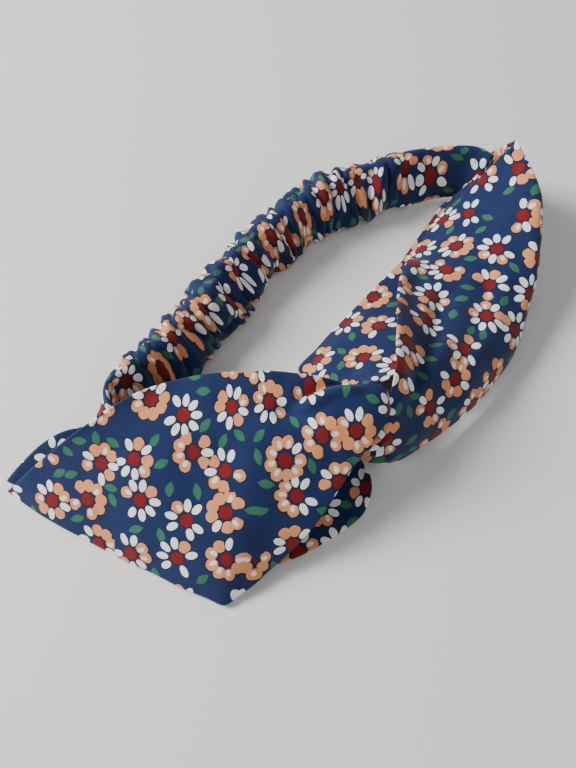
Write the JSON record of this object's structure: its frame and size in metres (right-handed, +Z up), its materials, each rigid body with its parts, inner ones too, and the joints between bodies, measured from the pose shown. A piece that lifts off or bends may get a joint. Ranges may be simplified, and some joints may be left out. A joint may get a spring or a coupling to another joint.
{
  "type": "knotted headband",
  "caption": "Wide knotted cloth headband with a gathered elastic at the back, lying on its side; it stretches round a head.",
  "frame": {"origin": "middle of the footprint, on the table that the headband lies on", "axes": "+X from the left band's end to the right band's end, +Y from the knot to the elastic, +Z up, away from the table"},
  "size_m": [0.2574, 0.1354, 0.0404],
  "materials": {
    "left_band_cloth": "matte printed woven cotton",
    "right_band_cloth": "matte printed woven cotton",
    "casing_cloth": "matte printed woven cotton",
    "elastic_braid": "white braided elastic",
    "thread": "dark blue sewing thread"
  },
  "bodies": {
    "left_side": {"left_band": "left_band_cloth", "elastic_casing": "casing_cloth", "elastic": "elastic_braid", "left_band_seam_thread": "thread", "casing_seam_thread": "thread", "left_end_stitches": "thread", "left_elastic_tack": "thread", "right_elastic_tack": "thread"},
    "right_side": {"right_band": "right_band_cloth", "right_band_seam_thread": "thread", "right_end_stitches": "thread"}
  },
  "joints": [
    {"name": "knot_pivot", "type": "hinge", "parent": "left_side", "child": "right_side", "pos_m": [0.00483, -0.03995, 0.02295], "axis": [0, 0, 1], "range_deg": [-20, 12], "stiffness_Nm_per_rad": 0.02, "deforming": ["elastic_casing", "elastic", "casing_seam_thread", "right_elastic_tack"]}
  ]
}
